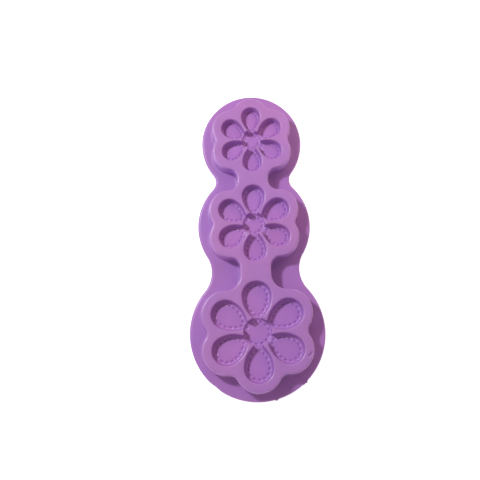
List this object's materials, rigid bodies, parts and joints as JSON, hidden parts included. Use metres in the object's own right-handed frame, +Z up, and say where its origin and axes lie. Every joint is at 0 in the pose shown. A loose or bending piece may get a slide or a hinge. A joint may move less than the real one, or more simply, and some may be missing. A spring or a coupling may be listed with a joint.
{
  "type": "silicone soap mould",
  "caption": "Flexible silicone soap mould with a row of flower-shaped cavities of falling size on a lobed raised block with a flat flange",
  "frame": {"origin": "centre of the bounding box at the level of the flat underside", "axes": "+Z up out of the cavities, +Y along the row from the large flower to the small one, +X to the right seen from above with +Y away"},
  "size_m": [0.0668, 0.1546, 0.0135],
  "materials": {
    "silicone": "satin lilac cast silicone, slightly translucent, with faint surface dust"
  },
  "bodies": {
    "middle": {"middle_flower_pad": "silicone", "wide_waist": "silicone", "narrow_waist": "silicone"},
    "large_end": {"large_flower_pad": "silicone"},
    "small_end": {"small_flower_pad": "silicone"}
  },
  "joints": [
    {"name": "wide_waist_bend", "type": "hinge", "parent": "middle", "child": "large_end", "pos_m": [0, -0.0143, 0.0052], "axis": [-1, 0, 0], "range_deg": [-60, 40], "stiffness_Nm_per_rad": 0.35, "deforming": ["wide_waist"]},
    {"name": "narrow_waist_bend", "type": "hinge", "parent": "middle", "child": "small_end", "pos_m": [0, 0.0324, 0.0052], "axis": [1, 0, 0], "range_deg": [-46, 30], "stiffness_Nm_per_rad": 0.4, "deforming": ["narrow_waist"]}
  ]
}
